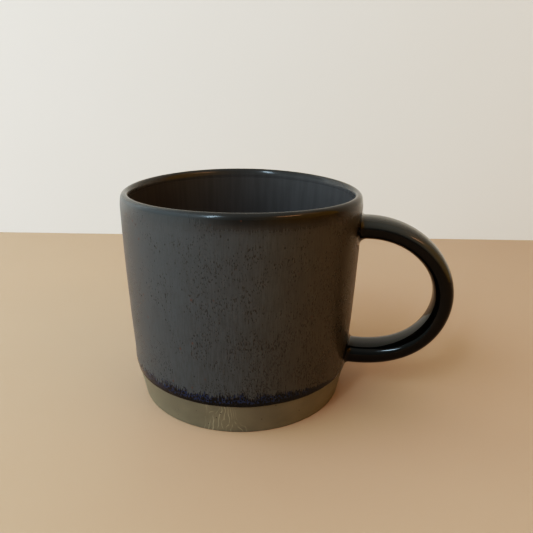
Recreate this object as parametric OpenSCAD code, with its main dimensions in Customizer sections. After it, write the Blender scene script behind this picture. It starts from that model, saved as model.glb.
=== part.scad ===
// Stoneware mug: a tapered cup on a bare clay foot band, with a strap handle.
// Each piece of clay is a solid of its own, and so is each coat of glaze.
// Origin: centre of the underside of the foot. +Z is up, and the handle points along +X.

/* [Cup] */
// Outer diameter at the lip
rim_d = 90; // [86:1:100]
// Height of the lip above the table
cup_h = 80.2; // [77:0.1:95]
// Outer diameter at the bottom of the foot band
foot_d = 79.2; // [74:0.2:82]
// Diameter of the clay at the top of the foot band
shoulder_d = 83.9; // [82:0.1:85]
// Height of the bare foot band, up to the edge of the glaze
band_h = 12; // [8:0.5:13]
// How far the wall swells out from a straight taper
wall_bow = 0.45; // [0:0.05:1.5]
// Radius of the rounded lip with its glaze, which is half of the wall's thickness there
lip_r = 1.85; // [1.5:0.05:2.4]
// Extra thickness of the wall at the bottom of the cup
wall_gain = 1.2; // [0:0.1:2.4]
// Height of the drinking floor above the table
floor_z = 6; // [5:0.5:9]
// Radius of the curve from the inner wall to the floor
floor_fillet = 9; // [4:0.5:14]

/* [Foot] */
// Depth of the turned hollow under the foot
foot_recess = 1.2; // [0.6:0.1:1.8]
// Width of the ring that the mug stands on
foot_ring_w = 6; // [4:0.5:9]
// Bevel on the outer edge of the foot
foot_bevel = 0.5; // [0.2:0.1:1]

/* [Glaze] */
// Thickness of every coat of glaze
glaze_t = 0.4; // [0.3:0.05:0.6]

/* [Handle] */
// Half of the strap's width, along Y
strap_half_w = 6.8; // [5:0.1:9]
// Half of the strap's thickness at its outermost point
strap_half_t = 3.7; // [3:0.1:4.5]
// Half of the strap's thickness where it meets the wall
root_half_t = 4.1; // [3:0.1:4.5]
// Squareness of the strap's section: 2 is an ellipse, and more is squarer
strap_power = 2.5; // [2:0.1:3.5]
// Height of the middle of the upper arm
upper_arm_z = 67.4; // [64:0.1:69]
// Height of the middle of the lower arm
lower_arm_z = 16.7; // [16:0.1:22]
// Distance from the cup's axis to the middle of the strap at its outermost point
reach = 76.8; // [74:0.1:86]
// Height of the outermost point
reach_z = 41.7; // [36:0.1:48]
// Radius of the joint's fillet on the side of the finger gap
crook_fillet = 2.6; // [1.5:0.1:2.6]
// Radius of the joint's fillet on the outer side
outer_fillet = 1.3; // [0.8:0.1:2]

/* [Hidden] */

$fn = 96;
rim_r = rim_d / 2;
foot_r = foot_d / 2;
shoulder_r = shoulder_d / 2;
mouth_r = rim_r - 2 * lip_r;     // inner radius at the lip
lip_z = cup_h - lip_r;           // height of the middle of the rounded lip
wall_steps = 16;
floor_steps = 8;

upper_arm = [upper_arm_z, 1];    // height, and 1 where its outer face looks up
lower_arm = [lower_arm_z, -1];   // or -1 where it looks down
upper_pull = [16.4, 13.5];       // how long the upper curve keeps level, then upright
lower_pull = [23.9, 9.7];        // the same for the lower curve
stub = 3.2;                      // straight length of each arm outside the wall
strap_sunk = 4;                  // how far the strap is drawn into the wall before it is cut there,
coat_sunk = 3;                   // and its coat,
slip_sunk = 2;                   // and the block of slip round it
slip_feather = 0.5;              // depth at which the slip's end dives into the strap
strap_sides = 32;
curve_steps = 16;
fillet_angles = [15, 30, 45, 60, 75];  // stations round a fillet, from the wall to the strap

bare_clay = [0.42, 0.37, 0.28];
slip_clay = [0.36, 0.32, 0.25];
charcoal = [0.22, 0.21, 0.20];
liner_grey = [0.17, 0.17, 0.18];
gloss_black = [0.07, 0.07, 0.07];

function reversed(list) = [for (i = [len(list) - 1 : -1 : 0]) list[i]];

// ---- Cup ----

// Outer radius of the glazed wall at a height
function wall_at(z) =
    let (t = (z - band_h) / (lip_z - band_h))
    shoulder_r + glaze_t + t * (rim_r - shoulder_r - glaze_t) + 4 * wall_bow * t * (1 - t);

// Outline of the wall's outside, from the shoulder up to the lip, under or over its glaze
function wall_line(coat) = [
    for (i = [0 : wall_steps])
        let (z = band_h + (lip_z - band_h) * i / wall_steps)
        [wall_at(z) - glaze_t + coat, z]
];

// Outline of the cup's inside, from the lip down to the middle of the floor
function bowl_line(coat) =
    let (
        depth = glaze_t - coat,
        corner_r = shoulder_r + glaze_t - 2 * lip_r - wall_gain + depth,
        base_z = floor_z - depth,
        fillet = floor_fillet + depth,
        lean = atan((mouth_r + depth - corner_r) / (lip_z - base_z)),
        turn = 90 - lean,
        middle_r = corner_r - fillet * tan(turn / 2)
    )
    concat(
        [[mouth_r + depth, lip_z]],
        [for (i = [0 : floor_steps])
            let (a = -lean - turn * i / floor_steps)
            [middle_r + fillet * cos(a), base_z + fillet + fillet * sin(a)]],
        [[0, base_z]]
    );

// Outline of the clay's outside, from the foot ring up to the lip
foot_line = [[foot_r - foot_bevel, 0], [foot_r + foot_bevel * (shoulder_r - foot_r) / band_h, foot_bevel]];
clay_line = concat(foot_line, wall_line(0));

// Outline of the coat on it: its lower edge is rounded over the shoulder
glaze_edge = [for (a = [30 : 30 : 90]) [shoulder_r + glaze_t * sin(a), band_h + glaze_t * (1 - cos(a))]];
coat_line = concat(glaze_edge, [for (i = [1 : wall_steps]) wall_line(glaze_t)[i]]);

module lip_round(coat) {
    translate([rim_r - lip_r, lip_z])
        circle(lip_r - glaze_t + coat);
}

// Thrown clay: floor, wall, lip and foot, with a turned hollow underneath
module cup_body() {
    ring_r = foot_r - foot_ring_w;
    hollow = [[0, foot_recess], [ring_r - foot_recess, foot_recess], [ring_r, 0]];
    color(bare_clay)
        rotate_extrude() {
            polygon(concat(hollow, clay_line, bowl_line(0)));
            lip_round(0);
        }
}

// The coat's section. Its upper edge meets the inner coat just below the lip.
module outer_coat_2d() {
    polygon(concat(coat_line, reversed(wall_line(0))));
}

// Coat on the outside of the wall. Both arms pass through it to reach the clay.
module outer_glaze() {
    color(charcoal)
        difference() {
            rotate_extrude()
                outer_coat_2d();
            slip_block(upper_arm);
            slip_block(lower_arm);
        }
}

// Coat on the inside, which runs over the lip
module inner_glaze() {
    color(liner_grey)
        rotate_extrude() {
            polygon(concat(bowl_line(glaze_t), reversed(bowl_line(0))));
            intersection() {
                difference() {
                    lip_round(glaze_t);
                    lip_round(0);
                }
                translate([0, lip_z])
                    square(rim_d);
            }
        }
}

// Filled bodies of revolution that trim what stands on the wall
module clay_plug() {
    rotate_extrude()
        polygon(concat([[0, 0]], clay_line, [[0, lip_z]]));
}

module glazed_plug() {
    rotate_extrude() {
        polygon(concat([[0, 0]], clay_line, [[0, lip_z]]));
        outer_coat_2d();
    }
}

// ---- Handle ----

upper_start = [wall_at(upper_arm_z) + stub, upper_arm_z];
lower_end = [wall_at(lower_arm_z) + stub, lower_arm_z];
outermost = [reach, reach_z];
upper_curve = [upper_start, upper_start + [upper_pull[0], 0], outermost + [0, upper_pull[1]], outermost];
lower_curve = [outermost, outermost - [0, lower_pull[1]], lower_end + [lower_pull[0], 0], lower_end];

function bezier(p, t) =
    pow(1 - t, 3) * p[0] + 3 * pow(1 - t, 2) * t * p[1] + 3 * (1 - t) * t * t * p[2] + pow(t, 3) * p[3];

function bezier_way(p, t) =
    pow(1 - t, 2) * (p[1] - p[0]) + 2 * (1 - t) * t * (p[2] - p[1]) + t * t * (p[3] - p[2]);

function rounded(x) = sign(x) * pow(abs(x), 2 / strap_power);

// The joint's fillet is larger on the side of the finger gap
function fillet_at(phi) = outer_fillet + (crook_fillet - outer_fillet) * (1 - sin(phi)) / 2;

// Ring round an arm, on or beside its fillet. spread and lift are angles round the fillet, from
// 0 at the wall to 90 at the strap: spread sets how far the ring stands off the strap, and lift
// how far every point of it stands off the round wall, unless the ring is sunk into the wall.
function arm_ring(arm, coat, spread, lift, sunk = 0) = [
    for (k = [0 : strap_sides - 1])
        let (
            phi = 360 * k / strap_sides,
            r = fillet_at(phi) + glaze_t - coat,
            swell = coat - glaze_t + r * (1 - sin(spread)),
            y = (strap_half_w + swell) * rounded(cos(phi)),
            z = arm[0] + arm[1] * (root_half_t + swell) * rounded(sin(phi)),
            clay_r = wall_at(z) - glaze_t,
            off = sunk > 0 ? -sunk : coat + r * (1 - cos(lift))
        )
        [sqrt(clay_r * clay_r - y * y) + off, y, z]
];

// Ring round the bend, square to its centre line. root_share is 1 at the wall and 0 halfway round.
function bend_ring(curve, t, root_share, coat) =
    let (
        middle = bezier(curve, t),
        way = bezier_way(curve, t) / norm(bezier_way(curve, t)),
        half_t = strap_half_t + (root_half_t - strap_half_t) * pow(root_share, 2) - glaze_t + coat
    )
    [for (k = [0 : strap_sides - 1])
        let (phi = 360 * k / strap_sides, out = half_t * rounded(sin(phi)))
        [middle.x - way.y * out, (strap_half_w - glaze_t + coat) * rounded(cos(phi)), middle.y + way.x * out]];

function bend_rings(coat) = concat(
    [for (i = [0 : curve_steps]) bend_ring(upper_curve, i / curve_steps, 1 - i / curve_steps, coat)],
    [for (i = [1 : curve_steps]) bend_ring(lower_curve, i / curve_steps, i / curve_steps, coat)]
);

// Skin over rings that all have the same number of points, closed by two flat ends or,
// on a hoop, by joining the last ring to the first
module skin(rings, hoop = false) {
    n = len(rings[0]);
    count = len(rings) * n;
    sides = [for (i = [0 : n : hoop ? count - n : count - 2 * n]) for (k = [0 : n - 1])
        let (next = (k + 1) % n, over = (i + n) % count)
        each [[i + k, over + k, i + next], [i + next, over + k, over + next]]];
    ends = [[for (k = [0 : n - 1]) k], [for (k = [1 : n]) count - k]];
    polyhedron([for (ring = rings) each ring], hoop ? sides : concat(sides, ends), convexity = 8);
}

// The strap of bare clay, with both ends inside the wall
module clay_strap() {
    skin(concat(
        [arm_ring(upper_arm, 0, 90, 0, strap_sunk)],
        bend_rings(0),
        [arm_ring(lower_arm, 0, 90, 0, strap_sunk)]));
}

// The strap with its coat and the fillets where the coat runs onto the wall
module glazed_strap() {
    angles = concat(fillet_angles, 90);
    upper_rings = [for (a = angles) arm_ring(upper_arm, glaze_t, a, a)];
    lower_rings = [for (a = angles) arm_ring(lower_arm, glaze_t, a, a)];
    skin(concat(
        [arm_ring(upper_arm, glaze_t, angles[0], 0, coat_sunk)],
        upper_rings,
        bend_rings(glaze_t),
        reversed(lower_rings),
        [arm_ring(lower_arm, glaze_t, angles[0], 0, coat_sunk)]));
}

function slip_fillet(arm) = [for (a = fillet_angles) arm_ring(arm, 0, a, a)];

// The space that an arm and the slip round it take up, from inside the wall
module slip_block(arm) {
    rings = concat(
        [arm_ring(arm, 0, fillet_angles[0], 0, slip_sunk)],
        slip_fillet(arm),
        [arm_ring(arm, -slip_feather, 90, 90)]);
    skin(arm[1] > 0 ? rings : reversed(rings));
}

// Hoop of slip between the strap and the wall
module slip_joint(arm) {
    thin_end = fillet_angles[len(fillet_angles) - 1];
    rings = concat(
        [arm_ring(arm, 0, fillet_angles[0], 0)],
        slip_fillet(arm),
        [arm_ring(arm, 0, 90, thin_end), arm_ring(arm, 0, 90, 0)]);
    color(slip_clay)
        skin(arm[1] > 0 ? rings : reversed(rings), hoop = true);
}

// Pulled strap of clay, cut to fit the round wall at both ends
module handle() {
    color(bare_clay)
        difference() {
            clay_strap();
            clay_plug();
        }
}

module upper_slip_joint() {
    slip_joint(upper_arm);
}

module lower_slip_joint() {
    slip_joint(lower_arm);
}

// Coat on the strap and its joints, which ends on the wall's own coat
module handle_glaze() {
    color(gloss_black)
        difference() {
            glazed_strap();
            clay_strap();
            slip_block(upper_arm);
            slip_block(lower_arm);
            glazed_plug();
        }
}

cup_body();
handle();
upper_slip_joint();
lower_slip_joint();
outer_glaze();
inner_glaze();
handle_glaze();
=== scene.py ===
"""The looks of a stoneware mug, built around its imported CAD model.

The thrown body and the three coats of glaze are rebuilt as smooth, closed meshes. The strap of clay
and its two slip joints stay as the CAD made them, inside their coat. Lengths are in metres.
"""
import math

import bpy
import numpy as np
from mathutils import Matrix, Vector, noise


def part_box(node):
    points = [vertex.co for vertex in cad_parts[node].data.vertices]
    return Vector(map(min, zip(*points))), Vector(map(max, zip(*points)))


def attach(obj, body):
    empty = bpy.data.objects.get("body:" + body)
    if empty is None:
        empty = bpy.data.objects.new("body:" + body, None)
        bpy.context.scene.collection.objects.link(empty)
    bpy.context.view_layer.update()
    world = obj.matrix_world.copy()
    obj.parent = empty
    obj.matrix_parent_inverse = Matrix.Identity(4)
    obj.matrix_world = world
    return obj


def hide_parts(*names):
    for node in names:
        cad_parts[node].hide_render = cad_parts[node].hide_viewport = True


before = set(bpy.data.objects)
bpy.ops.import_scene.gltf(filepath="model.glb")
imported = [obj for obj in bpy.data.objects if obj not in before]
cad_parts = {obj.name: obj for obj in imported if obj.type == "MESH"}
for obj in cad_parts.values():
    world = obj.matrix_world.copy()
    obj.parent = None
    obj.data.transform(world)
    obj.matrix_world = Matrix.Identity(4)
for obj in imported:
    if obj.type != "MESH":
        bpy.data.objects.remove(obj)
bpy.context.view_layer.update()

MM = 0.001

# ---- Sizes read from the CAD model ----

GLAZE_T = 0.4 * MM                                   # thickness of every coat
RIM_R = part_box("outer_glaze")[1].x
LIP_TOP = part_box("inner_glaze")[1].z
LIP_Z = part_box("outer_glaze")[1].z                   # middle of the rounded lip
LIP_R = LIP_TOP - LIP_Z
BAND_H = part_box("outer_glaze")[0].z                  # top of the bare foot band
FLOOR_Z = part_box("inner_glaze")[0].z + GLAZE_T       # drinking floor


def cad_radius(node, low, high):
    """Largest radius of a CAD node's vertices between two heights."""
    rows = (v.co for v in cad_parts[node].data.vertices)
    return max(math.hypot(co.x, co.y) for co in rows if low <= co.z <= high)


FOOT_BEVEL = 0.5 * MM
FOOT_R = cad_radius("cup_body", 0, FOOT_BEVEL * 1.1)
SHOULDER_R = cad_radius("cup_body", BAND_H - 0.1 * MM, BAND_H + 0.1 * MM)
MOUTH_R = RIM_R - 2 * LIP_R
WALL_BOW = 0.45 * MM
WALL_GAIN = 1.2 * MM
FLOOR_FILLET = 9 * MM
FOOT_RECESS = 1.2 * MM
FOOT_RING_W = 6 * MM

# The strap's clay is one coat smaller than the strap on every side
STRAP_HALF_T = 3.7 * MM
ROOT_HALF_T = 4.1 * MM
STRAP_HALF_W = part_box("handle")[1].y + GLAZE_T
UPPER_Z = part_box("handle")[1].z + GLAZE_T - ROOT_HALF_T
LOWER_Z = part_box("handle")[0].z - GLAZE_T + ROOT_HALF_T
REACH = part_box("handle")[1].x + GLAZE_T - STRAP_HALF_T
REACH_Z = 41.7 * MM
STUB = 3.2 * MM
UPPER_PULL = (16.4 * MM, 13.5 * MM)
LOWER_PULL = (23.9 * MM, 9.7 * MM)
STRAP_POWER = 2.5
CROOK_FILLET = 2.6 * MM
OUTER_FILLET = 1.3 * MM

# ---- What the hand and the kiln did to it ----

SADDLE = 0.42 * MM                # the lip's rise and fall
SADDLE_DROP = 0.45 * MM           # keeps the lip's highest points inside the CAD box
SADDLE_TURN = math.radians(12)    # direction of one of its low points
SADDLE_FROM = 60 * MM
BEAD = 0.22 * MM                  # swelling of the glaze above its lower edge
BEAD_Z = BAND_H + 3.2 * MM
BEAD_REACH = 2.4 * MM
EDGE_WAVE = 0.16 * MM
EDGE_FADE = 4 * MM
THROW_WAVE = 0.035 * MM
ROLL = 0.48 * MM                  # the lip leans in, more on its outer side
ROLL_H = 5 * MM
INNER_FALL = 1.6                  # how much taller than round the lip's inner side is

AROUND = 384
STRAP_AROUND = 96


def smooth(t):
    t = np.clip(t, 0, 1)
    return t * t * (3 - 2 * t)


def ripple(x, y, z, seed):
    """Smooth noise from -1 to 1 at a point given in periods."""
    return noise.noise(Vector((x + seed, y, z)))


# ---- Outlines of the cup, as (radius, height) pairs ----

def wall_radius(z):
    """Outer radius of the glazed wall."""
    t = (z - BAND_H) / (LIP_Z - BAND_H)
    base = SHOULDER_R + GLAZE_T
    return base + t * (RIM_R - base) + 4 * WALL_BOW * t * (1 - t)


def wall_outline(coat, low=BAND_H, steps=56):
    """Up the outside of the wall, over or under its glaze."""
    heights = np.linspace(low, LIP_Z, steps + 1)
    return [(wall_radius(z) - GLAZE_T + coat, z) for z in heights]


def arc(cx, cz, r, start, end, steps):
    angles = np.radians(np.linspace(start, end, steps + 1))
    return [(cx + r * math.cos(a), cz + r * math.sin(a)) for a in angles]


def lip_outline(coat, steps=12):
    """Over the lip, from its outer side to its inner side, which falls away more slowly."""
    r = LIP_R - GLAZE_T + coat
    outer = arc(RIM_R - LIP_R, LIP_Z, r, 0, 90, steps)
    inner = arc(RIM_R - LIP_R, LIP_Z, r, 90, 180, steps)
    return outer + [(x, LIP_Z + r - INNER_FALL * (LIP_Z + r - z)) for x, z in inner[1:]]


def bowl_outline(coat, wall_steps=48, fillet_steps=20, floor_steps=10):
    """Down the inside of the cup to the middle of its floor."""
    depth = GLAZE_T - coat
    top_r, top_z = lip_outline(coat)[-1]
    corner_r = SHOULDER_R + GLAZE_T - 2 * LIP_R - WALL_GAIN + depth
    base_z = FLOOR_Z - depth
    fillet = FLOOR_FILLET + depth
    lean = math.degrees(math.atan((top_r - corner_r) / (top_z - base_z)))
    middle_r = corner_r - fillet * math.tan(math.radians((90 - lean) / 2))
    corner = arc(middle_r, base_z + fillet, fillet, -lean, -90, fillet_steps)
    shares = np.arange(1, wall_steps) / wall_steps
    wall = [(top_r + s * (corner[0][0] - top_r), top_z + s * (corner[0][1] - top_z)) for s in shares]
    floor = [(middle_r * (1 - s), base_z) for s in np.arange(1, floor_steps + 1) / floor_steps]
    return wall + corner + floor


def foot_outline(steps=14):
    """From the middle of the hollow under the foot, out and up the bare band to the glaze."""
    ring_r = FOOT_R - FOOT_RING_W
    turned = [(ring_r - FOOT_RECESS - 0.3 * MM, FOOT_RECESS)]
    hollow = [(turned[0][0] * s, FOOT_RECESS) for s in np.linspace(0, 1, 12)[:-1]]
    slope = [(ring_r - FOOT_RECESS, FOOT_RECESS - 0.12 * MM), (ring_r - 0.15 * MM, 0.1 * MM), (ring_r, 0)]
    bevel = arc(FOOT_R - FOOT_BEVEL, FOOT_BEVEL, FOOT_BEVEL, -90, 0, 6)
    band = [(FOOT_R + s * (SHOULDER_R - FOOT_R), FOOT_BEVEL + s * (BAND_H - FOOT_BEVEL))
            for s in np.linspace(0, 1, steps + 1)[1:]]
    return hollow + turned + slope + bevel + band


def kiln_warp(points):
    """The roll and the saddle of the lip, and the faint throwing rings."""
    r = np.hypot(points[:, 0], points[:, 1])
    turn = np.arctan2(points[:, 1], points[:, 0])
    z = points[:, 2].copy()
    outer_share = np.clip((r - MOUTH_R) / (2 * LIP_R), 0, 1)
    roll = ROLL * outer_share * smooth((z - LIP_TOP + ROLL_H) / ROLL_H)
    points[:, :2] *= (1 - roll / np.maximum(r, 5 * MM))[:, None]
    rise = -SADDLE_DROP - SADDLE * np.cos(2 * (turn - SADDLE_TURN))
    points[:, 2] += rise * smooth((z - SADDLE_FROM) / (LIP_Z - SADDLE_FROM))
    wave = [ripple(2.2 * math.cos(a), 2.2 * math.sin(a), h / (7 * MM), 3.1) for a, h in zip(turn, z)]
    swell = THROW_WAVE * np.array(wave) * smooth((z - BAND_H) / (6 * MM))
    grow = np.where(r > 5 * MM, (r + swell) / np.maximum(r, 1e-6), 1)
    points[:, :2] *= grow[:, None]
    return points


# ---- Meshes ----

def mesh_object(name, points, faces, replaced=None):
    mesh = bpy.data.meshes.new(name)
    mesh.from_pydata([tuple(p) for p in points], [], faces)
    mesh.validate()
    mesh.shade_smooth()
    mesh.set_sharp_from_angle(angle=math.radians(50))
    piece = bpy.data.objects.new(name, mesh)
    bpy.context.scene.collection.objects.link(piece)
    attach(piece, "root")
    if replaced:
        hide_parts(replaced)
    return piece


def revolve(name, outline, replaced, closed, adjust=None):
    """Turns an outline round the Z axis. A closed outline makes a ring, and an open one starts and
    ends on the axis."""
    angles = np.arange(AROUND) * 2 * math.pi / AROUND
    inner = outline if closed else outline[1:-1]
    rings = np.array([[(r * math.cos(a), r * math.sin(a), z) for a in angles] for r, z in inner])
    points = rings.reshape(-1, 3)
    if adjust:
        points = adjust(points)
    points = kiln_warp(points)
    count = len(inner)
    faces = []
    for i in range(count if closed else count - 1):
        low, high = i * AROUND, (i + 1) % count * AROUND
        for k in range(AROUND):
            following = (k + 1) % AROUND
            faces.append((low + k, low + following, high + following, high + k))
    points = points.tolist()
    if not closed:
        points += [(0, 0, outline[0][1]), (0, 0, outline[-1][1])]
        first, last = len(points) - 2, len(points) - 1
        top = (count - 1) * AROUND
        for k in range(AROUND):
            following = (k + 1) % AROUND
            faces.append((first, following, k))
            faces.append((last, top + k, top + following))
    return mesh_object(name, points, faces, replaced)


def glaze_edge(points):
    """The coat's lower edge wanders a little, and swells into a bead above it."""
    r = np.hypot(points[:, 0], points[:, 1])
    turn = np.arctan2(points[:, 1], points[:, 0])
    z = points[:, 2].copy()
    wave = np.array([ripple(9 * math.cos(a), 9 * math.sin(a), 0, 8.4) for a in turn])
    points[:, 2] += EDGE_WAVE * wave * (1 - smooth((z - BAND_H) / EDGE_FADE))
    outside = smooth((r - (wall_radius(z) - GLAZE_T)) / GLAZE_T)
    bead = BEAD * np.exp(-((z - BEAD_Z) / BEAD_REACH) ** 2) * outside
    points[:, :2] *= (1 + bead / r)[:, None]
    return points


def build_cup():
    clay = foot_outline() + wall_outline(0)[1:-1] + lip_outline(0) + bowl_outline(0)
    body = revolve("cup_clay", clay, "cup_body", closed=False)

    edge = arc(SHOULDER_R - 0.05 * MM, BAND_H + GLAZE_T, GLAZE_T + 0.05 * MM, -90, 0, 8)
    outside = edge + wall_outline(GLAZE_T, BAND_H + 0.8 * MM)
    back = [(r - 0.03 * MM, z) for r, z in reversed(wall_outline(0))]
    outer = revolve("outer_coat", outside + back, "outer_glaze", True, glaze_edge)

    over = lip_outline(GLAZE_T) + bowl_outline(GLAZE_T)
    under = lip_outline(0) + bowl_outline(0)
    inner = revolve_shell("inner_coat", over, under, "inner_glaze")
    return body, outer, inner


def revolve_shell(name, over, under, replaced):
    """A coat that ends on the axis: its outer face, its inner face, and the edge that joins them."""
    return revolve(name, list(reversed(over)) + under, replaced, closed=False)


# ---- Handle ----

def rounded(x):
    return math.copysign(abs(x) ** (2 / STRAP_POWER), x)


def bezier(p, t):
    s = 1 - t
    return s ** 3 * p[0] + 3 * s * s * t * p[1] + 3 * s * t * t * p[2] + t ** 3 * p[3]


def bezier_way(p, t):
    s = 1 - t
    way = s * s * (p[1] - p[0]) + 2 * s * t * (p[2] - p[1]) + t * t * (p[3] - p[2])
    return way / np.linalg.norm(way)


def strap_curves():
    start = np.array((wall_radius(UPPER_Z) + STUB, UPPER_Z))
    end = np.array((wall_radius(LOWER_Z) + STUB, LOWER_Z))
    far = np.array((REACH, REACH_Z))
    upper = (start, start + (UPPER_PULL[0], 0), far + (0, UPPER_PULL[1]), far)
    lower = (far, far - (0, LOWER_PULL[1]), end + (LOWER_PULL[0], 0), end)
    return upper, lower


def section_angles():
    return np.arange(STRAP_AROUND) * 2 * math.pi / STRAP_AROUND


def fillet_at(phi):
    """The joint's fillet is larger on the side of the finger gap."""
    return OUTER_FILLET + (CROOK_FILLET - OUTER_FILLET) * (1 - math.sin(phi)) / 2


def arm_ring(arm_z, side, coat, angle, sunk=0.0):
    """Ring round an arm on its fillet, at an angle from the wall, 0, to the strap, 90 degrees."""
    ring = []
    turn = math.radians(angle)
    for phi in section_angles():
        r = fillet_at(phi) + GLAZE_T - coat
        swell = coat - GLAZE_T + r * (1 - math.sin(turn))
        y = (STRAP_HALF_W + swell) * rounded(math.cos(phi))
        z = arm_z + side * (ROOT_HALF_T + swell) * rounded(math.sin(phi))
        clay_r = wall_radius(z) - GLAZE_T
        ring.append((math.sqrt(clay_r ** 2 - y ** 2) + coat + r * (1 - math.cos(turn)) - sunk, y, z))
    return ring


def bend_ring(curve, t, root_share, coat):
    middle, way = bezier(curve, t), bezier_way(curve, t)
    half_t = STRAP_HALF_T + (ROOT_HALF_T - STRAP_HALF_T) * root_share ** 2 - GLAZE_T + coat
    ring = []
    for phi in section_angles():
        out = half_t * rounded(math.sin(phi))
        y = (STRAP_HALF_W - GLAZE_T + coat) * rounded(math.cos(phi))
        ring.append((middle[0] - way[1] * out, y, middle[1] + way[0] * out))
    return ring


def strap_rings(coat, sunk, curve_steps=72):
    """From the upper root round the bend to the lower root."""
    upper, lower = strap_curves()
    fillet = [6, 12, 19, 26, 34, 42, 51, 60, 70, 80, 90]
    steps = np.arange(curve_steps + 1) / curve_steps
    return (
        [arm_ring(UPPER_Z, 1, coat, fillet[0], sunk)]
        + [arm_ring(UPPER_Z, 1, coat, a) for a in fillet]
        + [bend_ring(upper, t, 1 - t, coat) for t in steps]
        + [bend_ring(lower, t, t, coat) for t in steps[1:]]
        + [arm_ring(LOWER_Z, -1, coat, a) for a in reversed(fillet)]
        + [arm_ring(LOWER_Z, -1, coat, fillet[0], sunk)]
    )


def build_handle_coat():
    """Outer face from root to root, then the inner face back again, which closes the shell."""
    rings = strap_rings(GLAZE_T, 0.3 * MM) + list(reversed(strap_rings(0.04 * MM, 0.0)))
    points = np.array(rings).reshape(-1, 3)
    count = len(rings)
    faces = []
    for i in range(count):
        low, high = i * STRAP_AROUND, (i + 1) % count * STRAP_AROUND
        for k in range(STRAP_AROUND):
            following = (k + 1) % STRAP_AROUND
            faces.append((low + k, high + k, high + following, low + following))
    return mesh_object("handle_coat", points, faces, "handle_glaze")


# ---- Materials ----

class Shader:
    """A material with one Principled shader, and short names for the nodes that feed it."""

    def __init__(self, name):
        self.material = bpy.data.materials.new(name)
        self.material.use_nodes = True
        self.tree = self.material.node_tree
        self.surface = self.tree.nodes["Principled BSDF"]
        texture_place = self.tree.nodes.new("ShaderNodeTexCoord")
        self.place = texture_place.outputs["Object"]
        self.normal = texture_place.outputs["Normal"]
        split = self.node("ShaderNodeSeparateXYZ", Vector=self.place)
        self.x, self.y, self.z = split.outputs

    def node(self, kind, settings=None, **inputs):
        made = self.tree.nodes.new(kind)
        for key, value in (settings or {}).items():
            setattr(made, key, value)
        for key, value in inputs.items():
            self.feed(made.inputs[key.replace("_", " ")], value)
        return made

    def feed(self, socket, value):
        if isinstance(value, bpy.types.NodeSocket):
            self.tree.links.new(value, socket)
        else:
            socket.default_value = value

    def set(self, **inputs):
        for key, value in inputs.items():
            self.feed(self.surface.inputs[key.replace("_", " ")], value)

    def math(self, operation, a, b=0.0, clamp=False):
        made = self.tree.nodes.new("ShaderNodeMath")
        made.operation = operation
        made.use_clamp = clamp
        self.feed(made.inputs[0], a)
        self.feed(made.inputs[1], b)
        return made.outputs[0]

    def ramp(self, value, low, high, to_low=0.0, to_high=1.0):
        """Smooth step of a value between low and high."""
        made = self.node("ShaderNodeMapRange", {"interpolation_type": "SMOOTHSTEP"}, Value=value)
        for key, number in (("From Min", low), ("From Max", high), ("To Min", to_low), ("To Max", to_high)):
            self.feed(made.inputs[key], number)
        return made.outputs[0]

    def mix(self, share, a, b):
        made = self.node("ShaderNodeMix", {"data_type": "RGBA"})
        self.feed(made.inputs[0], share)
        self.feed(made.inputs[6], a)
        self.feed(made.inputs[7], b)
        return made.outputs[2]

    def blend(self, share, a, b):
        made = self.node("ShaderNodeMix", {"data_type": "FLOAT"})
        self.feed(made.inputs[0], share)
        self.feed(made.inputs[2], a)
        self.feed(made.inputs[3], b)
        return made.outputs[0]

    def stretched(self, wide, tall):
        """Coordinates in grains that are so wide and so tall."""
        made = self.node("ShaderNodeMapping", Vector=self.place)
        made.inputs["Scale"].default_value = (1 / wide, 1 / wide, 1 / tall)
        return made.outputs[0]

    def noise(self, wide, tall=None, detail=2.0, roughness=0.5):
        made = self.node("ShaderNodeTexNoise", Vector=self.stretched(wide, tall or wide),
                         Scale=1.0, Detail=detail, Roughness=roughness)
        return made.outputs["Fac"]

    def cells(self, wide, tall=None, output="Distance"):
        made = self.node("ShaderNodeTexVoronoi", Vector=self.stretched(wide, tall or wide), Scale=1.0)
        return made.outputs[output]

    def bump(self, height, depth, strength=1.0, over=None):
        made = self.node("ShaderNodeBump", Height=height, Distance=depth, Strength=strength)
        if over:
            self.feed(made.inputs["Normal"], over)
        return made.outputs[0]


def colour(r, g, b):
    return (r, g, b, 1.0)


def radius(shader):
    """Distance from the cup's axis."""
    return shader.math("SQRT", shader.math("ADD", shader.math("MULTIPLY", shader.x, shader.x),
                                           shader.math("MULTIPLY", shader.y, shader.y)))


def turned_by(shader, degrees):
    """How squarely a point of the wall faces a direction, from -1 to 1."""
    a = math.radians(degrees)
    along = shader.math("ADD", shader.math("MULTIPLY", shader.x, math.cos(a)),
                        shader.math("MULTIPLY", shader.y, math.sin(a)))
    return shader.math("DIVIDE", along, radius(shader))


GLASS = colour(0.016, 0.013, 0.011)    # where the glaze broke thin and clear, as on the lip
LIP_ROUGHNESS = 0.13
FILM = colour(0.068, 0.076, 0.083)     # the satin film on the charcoal glaze
# the film painted warmer on the handle side: painted warm light
FILM_IN_PAINTED_WARM_LIGHT = colour(0.068, 0.062, 0.051)
FILM_ROUGHNESS = 0.42
CLIMB_TURN = -150      # direction in which the satin film climbs up the lip
FRINGE_TURN = -97      # direction in which the glaze ran furthest down to its edge
PITTED_TURN = -35      # direction in which the satin film is most pitted and streaked
FOLD_TURN = -88        # direction of the folds in the bare clay


def film_climb(s):
    """1 on the side where the satin film climbs up the lip, 0 where the lip is clear glass."""
    return s.ramp(turned_by(s, CLIMB_TURN), 0.30, 0.75)


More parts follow.
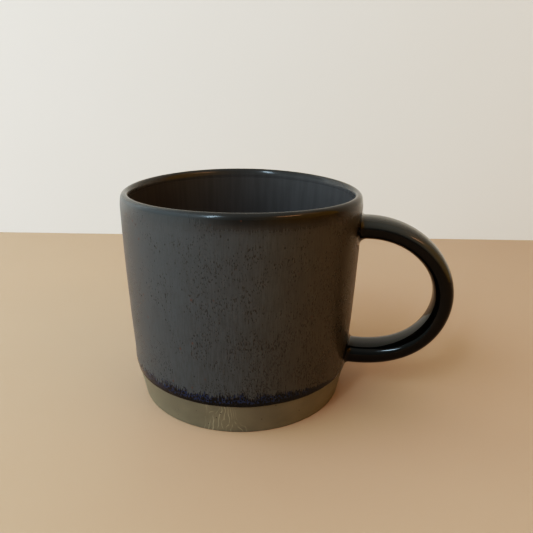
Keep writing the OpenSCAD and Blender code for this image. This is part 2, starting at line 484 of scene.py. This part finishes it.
def root_zone(s, arm_z):
    """1 on the wall round an arm's root, where the satin film gives way to dark, glossy glass."""
    across = s.math("POWER", s.math("DIVIDE", s.y, STRAP_HALF_W), 2)
    up = s.math("POWER", s.math("DIVIDE", s.math("SUBTRACT", s.z, arm_z), ROOT_HALF_T), 2)
    reach = s.math("SQRT", s.math("ADD", across, up))
    edge = s.math("ADD", reach, s.math("MULTIPLY", s.math("SUBTRACT", s.noise(3 * MM), 0.5), 0.5))
    on_handle_side = s.math("GREATER_THAN", s.x, 0.0)
    return s.math("MULTIPLY", s.ramp(edge, 1.45, 2.0, 1.0, 0.0), on_handle_side)


def charcoal_material():
    """Satin charcoal glaze: a dull film over black glass, broken by pits, and by the lip and the edge."""
    s = Shader("charcoal_glaze")
    # painted warm light: the film turns warmer towards the handle side, where the warm light falls
    film_with_painted_light = s.mix(s.ramp(turned_by(s, 0), 0.1, 0.85), FILM, FILM_IN_PAINTED_WARM_LIGHT)
    navy = colour(0.016, 0.031, 0.080)
    rust = colour(0.085, 0.030, 0.018)
    black = colour(0.000, 0.002, 0.005)

    streaks = s.ramp(s.noise(0.36 * MM, 6 * MM, 2.0), 0.3, 0.7)
    blotches = s.ramp(s.noise(9 * MM, 14 * MM, 3.0), 0.3, 0.75)
    clusters = s.ramp(s.noise(7 * MM, 10 * MM, 3.0), 0.40, 0.60)
    pitted = s.ramp(turned_by(s, PITTED_TURN), 0.30, 0.90)
    pitted_low = s.math("MULTIPLY", pitted, s.ramp(s.z, 28 * MM, 58 * MM, 1.0, 0.0))
    grains = s.math("ADD", s.noise(0.40 * MM, 0.95 * MM, 1.0), s.math("MULTIPLY", pitted_low, 0.045))
    small = s.ramp(grains, 0.56, 0.68)
    large = s.ramp(s.cells(1.7 * MM, 3.4 * MM), 0.05, 0.20, 1.0, 0.0)
    large = s.math("MULTIPLY", large, s.ramp(s.noise(3 * MM, 5 * MM), 0.42, 0.55))
    pits = s.math("MAXIMUM", s.math("MULTIPLY", small, s.blend(clusters, 0.25, 0.85)), large)
    pits = s.math("MULTIPLY", pits, s.blend(pitted, 0.65, 1.0))

    ragged = s.math("MULTIPLY", s.noise(2.5 * MM, 7 * MM, 3.0), 2 * MM)
    below_lip = s.math("SUBTRACT", LIP_TOP, s.z)
    lip_band = s.ramp(s.math("ADD", below_lip, ragged), 2.5 * MM, 9 * MM, 1.0, 0.0)
    lip_band = s.math("MULTIPLY", lip_band, s.math("SUBTRACT", 1.0, s.math("MULTIPLY", film_climb(s), 0.75)))
    pits = s.math("MULTIPLY", pits, s.math("SUBTRACT", 1.0, lip_band))
    roots = s.math("MAXIMUM", root_zone(s, UPPER_Z), root_zone(s, LOWER_Z))

    ran = s.ramp(turned_by(s, FRINGE_TURN), 0.15, 0.95)
    fringe_h = s.blend(ran, 1.2 * MM, 4.4 * MM)
    fringe_h = s.math("MULTIPLY", fringe_h, s.blend(s.noise(4.5 * MM, 20 * MM), 0.4, 1.5))
    above_edge = s.math("SUBTRACT", s.z, BAND_H)
    teeth = s.math("SUBTRACT", s.noise(0.50 * MM, 1.5 * MM, 3.0), 0.5)
    height = s.math("ADD", above_edge, s.math("MULTIPLY", teeth, s.blend(ran, 2.5 * MM, 8 * MM)))
    fringe = s.ramp(s.math("DIVIDE", height, fringe_h), 0.75, 1.25, 1.0, 0.0)
    mottle = s.ramp(s.noise(0.55 * MM, 1.0 * MM, 2.0), 0.46, 0.60)
    line = s.ramp(s.math("ADD", above_edge, s.math("MULTIPLY", teeth, 1.5 * MM)), 1.0 * MM, 1.6 * MM, 1.0, 0.0)

    bare = s.math("SUBTRACT", 1.0, s.math("MULTIPLY", pits, 0.8))
    thin = s.math("SUBTRACT", s.ramp(s.z, BAND_H, LIP_Z, 0.66, 0.84), s.math("MULTIPLY", pitted, 0.16))
    covered = s.math("MULTIPLY", bare, s.blend(streaks, thin, 1.0))
    covered = s.math("MULTIPLY", covered, s.blend(blotches, 0.94, 1.0))
    covered = s.math("MULTIPLY", covered, s.math("SUBTRACT", 1.0, lip_band))
    covered = s.math("MULTIPLY", covered, s.math("SUBTRACT", 1.0, fringe))
    covered = s.math("MULTIPLY", covered, s.math("SUBTRACT", 1.0, roots))
    base = s.mix(covered, GLASS, film_with_painted_light)
    rust_share = s.math("MULTIPLY", s.ramp(s.cells(4.6 * MM, 6 * MM), 0.04, 0.10, 1.0, 0.0), 0.8)
    base = s.mix(rust_share, base, rust)
    blue_share = s.math("MULTIPLY", s.math("MULTIPLY", ran, mottle), s.math("SUBTRACT", 1.0, line))
    blue_share = s.math("MULTIPLY", blue_share, 0.8)
    base = s.mix(fringe, base, s.mix(blue_share, black, navy))
    base = s.mix(line, base, black)
    s.set(Base_Color=base)
    s.set(Roughness=s.blend(covered, LIP_ROUGHNESS, FILM_ROUGHNESS))
    grain = s.bump(s.noise(0.35 * MM, detail=2.0), 0.012 * MM, 0.4)
    s.set(Normal=s.bump(pits, -0.05 * MM, 0.6, grain))
    s.set(IOR=1.5)
    return s.material


def liner_material():
    """The coat inside: smooth and glossy on the lip, satin lower down, with faint runs."""
    s = Shader("liner_glaze")
    runs = s.ramp(s.noise(1.6 * MM, 40 * MM, 3.0), 0.3, 0.7)
    below_lip = s.math("SUBTRACT", LIP_TOP, s.z)
    outer_side = s.ramp(radius(s), RIM_R - 1.0 * LIP_R, RIM_R - 0.3 * LIP_R)
    inner_side = s.ramp(radius(s), RIM_R - 1.7 * LIP_R, RIM_R - 0.9 * LIP_R, 1.0, 0.0)
    inside = s.math("MULTIPLY", s.ramp(below_lip, -0.7 * MM, 4.8 * MM), inner_side)
    satin = s.mix(runs, colour(0.066, 0.062, 0.062), colour(0.077, 0.073, 0.073))
    base = s.mix(inside, colour(0.018, 0.018, 0.018), satin)
    filmed = s.math("MULTIPLY", film_climb(s), outer_side)
    s.set(Base_Color=s.mix(s.math("MULTIPLY", filmed, 0.5), base, FILM))
    s.set(Roughness=s.blend(filmed, s.blend(inside, LIP_ROUGHNESS, 0.29), 0.30))
    s.set(Normal=s.bump(s.noise(0.8 * MM, 1.6 * MM, detail=2.0), 0.008 * MM, 0.4))
    s.set(IOR=1.5)
    return s.material


def black_material():
    """The handle's glossy black glass, with a grey film painted on where it faces up: a painted reflection of the
    bright light above.
    """
    s = Shader("black_glaze")
    patches = s.ramp(s.noise(5 * MM, detail=3.0), 0.35, 0.7)
    base = s.mix(patches, colour(0.002, 0.002, 0.002), colour(0.004, 0.003, 0.002))
    faces_up = s.node("ShaderNodeSeparateXYZ", Vector=s.normal).outputs[2]
    # painted reflection: the glass turns grey on faces that look up, high on the handle
    film_with_painted_light = s.ramp(s.math("ADD", faces_up, s.math("MULTIPLY", s.noise(3 * MM), 0.08)), 0.14, 0.40)
    film_with_painted_light = s.math("MULTIPLY", film_with_painted_light, s.ramp(s.z, REACH_Z - 2 * MM, REACH_Z + 9 * MM))
    base = s.mix(film_with_painted_light, base, colour(0.042, 0.042, 0.038))
    s.set(Base_Color=base)
    s.set(Roughness=s.blend(film_with_painted_light, s.blend(patches, 0.09, 0.14), 0.13))
    s.set(Normal=s.bump(s.noise(2.5 * MM, detail=2.0), 0.02 * MM, 0.35))
    s.set(IOR=1.46)
    return s.material


def clay_material():
    """Bare stoneware: olive brown, burnished smooth, with pale lines where the clay was folded."""
    s = Shader("bare_clay")
    clouds = s.ramp(s.noise(12 * MM, 8 * MM, 3.0), 0.3, 0.7)
    base = s.mix(clouds, colour(0.138, 0.124, 0.092), colour(0.170, 0.152, 0.110))

    around = s.math("MULTIPLY", s.node("ShaderNodeMath", {"operation": "ARCTAN2"}).outputs[0], FOOT_R)
    turn = around.node.inputs[0].links[0].from_node
    s.feed(turn.inputs[0], s.y)
    s.feed(turn.inputs[1], s.x)
    along = s.math("SUBTRACT", around, math.radians(FOLD_TURN) * FOOT_R)
    sway = s.math("MULTIPLY", s.math("SUBTRACT", s.noise(5 * MM, 8 * MM, 1.0), 0.5), 7 * MM)
    fan = s.blend(s.math("DIVIDE", s.z, BAND_H), 1.7, 0.8)
    fold = s.math("DIVIDE", s.math("ADD", along, sway), fan)
    wave = s.math("ABSOLUTE", s.math("SINE", s.math("MULTIPLY", fold, math.pi / (1.15 * MM))))
    crest = s.ramp(wave, 0.0, 0.50, 1.0, 0.0)
    near = s.ramp(s.math("ABSOLUTE", fold), 3 * MM, 6 * MM, 1.0, 0.0)
    broken = s.ramp(s.noise(2.4 * MM, 6 * MM), 0.36, 0.56)
    lines = s.math("MULTIPLY", s.math("MULTIPLY", crest, near), broken)
    base = s.mix(s.math("MULTIPLY", lines, 0.65), base, colour(0.36, 0.33, 0.25))

    specks = s.ramp(s.cells(3.4 * MM), 0.04, 0.10, 1.0, 0.0)
    base = s.mix(s.math("MULTIPLY", specks, 0.8), base, colour(0.015, 0.010, 0.006))
    s.set(Base_Color=base)
    s.set(Roughness=s.blend(clouds, 0.36, 0.44))
    s.set(Normal=s.bump(s.noise(0.5 * MM, detail=3.0), 0.02 * MM, 0.4))
    s.set(IOR=1.45)
    return s.material


def slip_material():
    """Fired slip, a little darker and coarser than the clay."""
    s = Shader("slip")
    grain = s.noise(0.9 * MM, detail=3.0)
    s.set(Base_Color=s.mix(grain, colour(0.07, 0.055, 0.035), colour(0.12, 0.10, 0.065)))
    s.set(Roughness=0.7)
    s.set(Normal=s.bump(grain, 0.05 * MM, 0.5))
    return s.material


def floor_material():
    s = Shader("floor_paint")
    s.set(Base_Color=s.mix(s.noise(60 * MM, detail=2.0), colour(0.450, 0.314, 0.216), colour(0.469, 0.328, 0.226)))
    s.set(Roughness=0.6)
    return s.material


def wall_material():
    s = Shader("backdrop_paint")
    s.set(Base_Color=s.mix(s.noise(90 * MM, detail=2.0), colour(0.86, 0.84, 0.79), colour(0.88, 0.86, 0.82)))
    s.set(Roughness=0.8)
    return s.material


def dress(obj, material):
    obj.data.materials.clear()
    obj.data.materials.append(material)


# ---- Stage, camera and light ----

CAMERA_TURN = math.radians(12)         # round the cup, from in front of it towards the handle
CAMERA_AWAY = 198.97 * MM
CAMERA_UP = 117.43 * MM
CAMERA_YAW = math.radians(2.71 - 12)
CAMERA_PITCH = math.radians(19.134)
CAMERA_ROLL = math.radians(0.884)
CAMERA_LENS = 36.07
BACKDROP_AWAY = 214 * MM               # behind the cup's axis


def camera_axes():
    cp, sp = math.cos(CAMERA_PITCH), math.sin(CAMERA_PITCH)
    forward = Vector((math.sin(CAMERA_YAW) * cp, math.cos(CAMERA_YAW) * cp, -sp))
    level = Vector((math.cos(CAMERA_YAW), -math.sin(CAMERA_YAW), 0))
    upright = level.cross(forward)
    right = math.cos(CAMERA_ROLL) * level + math.sin(CAMERA_ROLL) * upright
    up = -math.sin(CAMERA_ROLL) * level + math.cos(CAMERA_ROLL) * upright
    return right, up, forward


def build_camera():
    right, up, forward = camera_axes()
    data = bpy.data.cameras.new("camera")
    data.lens = CAMERA_LENS
    data.clip_start = 0.01
    camera = bpy.data.objects.new("camera", data)
    turn = Matrix((right, up, -forward)).transposed().to_4x4()
    place = Vector((CAMERA_AWAY * math.sin(CAMERA_TURN), -CAMERA_AWAY * math.cos(CAMERA_TURN), CAMERA_UP))
    camera.matrix_world = Matrix.Translation(place) @ turn
    bpy.context.scene.collection.objects.link(camera)
    bpy.context.scene.camera = camera


def stage_plane(name, corners, material):
    mesh = bpy.data.meshes.new(name)
    mesh.from_pydata(corners, [], [(0, 1, 2, 3)])
    plane = bpy.data.objects.new(name, mesh)
    bpy.context.scene.collection.objects.link(plane)
    dress(plane, material)
    return plane


def build_stage():
    """A pale floor, and a pale backdrop square to the camera."""
    across = Vector((math.cos(CAMERA_YAW), -math.sin(CAMERA_YAW), 0))
    away = Vector((math.sin(CAMERA_YAW), math.cos(CAMERA_YAW), 0))
    half, front, tall = 1.6, 1.6, 1.5
    back_l = away * BACKDROP_AWAY - across * half
    back_r = away * BACKDROP_AWAY + across * half
    rise = Vector((0, 0, tall))
    stage_plane("floor", [back_l - away * front, back_r - away * front, back_r, back_l], floor_material())
    stage_plane("backdrop", [back_l, back_r, back_r + rise, back_l + rise], wall_material())


def area_light(name, turn, height, away, size, power, tint, mirrored=True):
    """A soft panel that faces the mug. turn and height are its direction from the mug, as in direction().
    One that isn't mirrored lights the mug without showing in its glaze."""
    place = away * direction(turn, height)
    data = bpy.data.lights.new(name, "AREA")
    data.shape = "RECTANGLE"
    data.size, data.size_y = size
    data.energy = power
    data.color = tint
    light = bpy.data.objects.new(name, data)
    light.location = place
    light.rotation_euler = (-place).to_track_quat("-Z", "Y").to_euler()
    light.visible_glossy = mirrored
    bpy.context.scene.collection.objects.link(light)


def direction(turn, height=0.0):
    """Unit vector at a turn round the cup from the camera and a height above the horizon, in degrees."""
    a, e = math.radians(turn) + CAMERA_TURN, math.radians(height)
    return Vector((math.sin(a) * math.cos(e), -math.cos(a) * math.cos(e), math.sin(e)))


def build_room():
    """The soft light all round: cool from the left, warm from the right, bright above. The camera
    itself sees it as one plain pale colour."""
    world = bpy.data.worlds.new("studio")
    bpy.context.scene.world = world
    world.use_nodes = True
    nodes, links = world.node_tree.nodes, world.node_tree.links
    place = nodes.new("ShaderNodeTexCoord")

    def towards(turn, height, low, high):
        dot = nodes.new("ShaderNodeVectorMath")
        dot.operation = "DOT_PRODUCT"
        links.new(place.outputs["Generated"], dot.inputs[0])
        dot.inputs[1].default_value = direction(turn, height)
        share = nodes.new("ShaderNodeMapRange")
        share.interpolation_type = "SMOOTHSTEP"
        links.new(dot.outputs["Value"], share.inputs["Value"])
        share.inputs["From Min"].default_value = low
        share.inputs["From Max"].default_value = high
        return share.outputs[0]

    def mixed(share, under, over):
        mix = nodes.new("ShaderNodeMix")
        mix.data_type = "RGBA"
        links.new(share, mix.inputs[0])
        if isinstance(under, tuple):
            mix.inputs[6].default_value = under
        else:
            links.new(under, mix.inputs[6])
        mix.inputs[7].default_value = over
        return mix.outputs[2]

    room = mixed(towards(105, 5, -0.3, 0.8), ROOM_FRONT, ROOM_RIGHT)
    room = mixed(towards(-95, 20, -0.1, 0.9), room, ROOM_LEFT)
    room = mixed(towards(-60, 90, 0.45, 1.0), room, ROOM_TOP)
    background = nodes["Background"]
    links.new(room, background.inputs["Color"])
    seen = nodes.new("ShaderNodeBackground")
    seen.inputs["Color"].default_value = ROOM_SEEN
    path = nodes.new("ShaderNodeLightPath")
    choose = nodes.new("ShaderNodeMixShader")
    links.new(path.outputs["Is Camera Ray"], choose.inputs[0])
    links.new(background.outputs[0], choose.inputs[1])
    links.new(seen.outputs[0], choose.inputs[2])
    links.new(choose.outputs[0], nodes["World Output"].inputs["Surface"])


ROOM_FRONT = (0.26, 0.26, 0.24, 1)
ROOM_RIGHT = (0.64, 0.35, 0.04, 1)
ROOM_LEFT = (0.44, 0.49, 0.48, 1)
ROOM_TOP = (0.50, 0.50, 0.47, 1)
ROOM_SEEN = (0.66, 0.64, 0.60, 1)

# A photograph's tone curve: (light in, light out)
TONE_CURVE = ((0.01, 0.003), (0.02, 0.009), (0.04, 0.027), (0.08, 0.075), (0.2, 0.27), (0.4, 0.55), (0.7, 0.80))


def build_light():
    build_room()
    area_light("side_panel", -76, 32, 0.9, (1.1, 0.9), 7.5, (0.76, 0.91, 1.0), mirrored=False)
    area_light("window", -32, 42, 1.3, (0.10, 0.55), 2.6, (0.65, 0.85, 1.0))
    area_light("lamp", 78, 46, 1.3, (0.20, 0.60), 0.16, (1.0, 0.45, 0.20))
    area_light("small_lamp", 48, 40, 1.3, (0.45, 0.07), 0.80, (1.0, 0.52, 0.28))


def set_tone():
    view = bpy.context.scene.view_settings
    view.view_transform = "Standard"
    view.use_curve_mapping = True
    curve = view.curve_mapping.curves[3]
    curve.points[-1].location = (1.0, 0.95)
    for light_in, light_out in TONE_CURVE:
        curve.points.new(light_in, light_out)
    view.curve_mapping.update()


# ---- Build ----

cup_clay, outer_coat, inner_coat = build_cup()
handle_coat = build_handle_coat()

clay = clay_material()
slip = slip_material()
dress(cup_clay, clay)
dress(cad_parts["handle"], clay)
dress(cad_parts["upper_slip_joint"], slip)
dress(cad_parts["lower_slip_joint"], slip)
dress(outer_coat, charcoal_material())
dress(inner_coat, liner_material())
dress(handle_coat, black_material())

build_stage()
build_camera()
build_light()
set_tone()
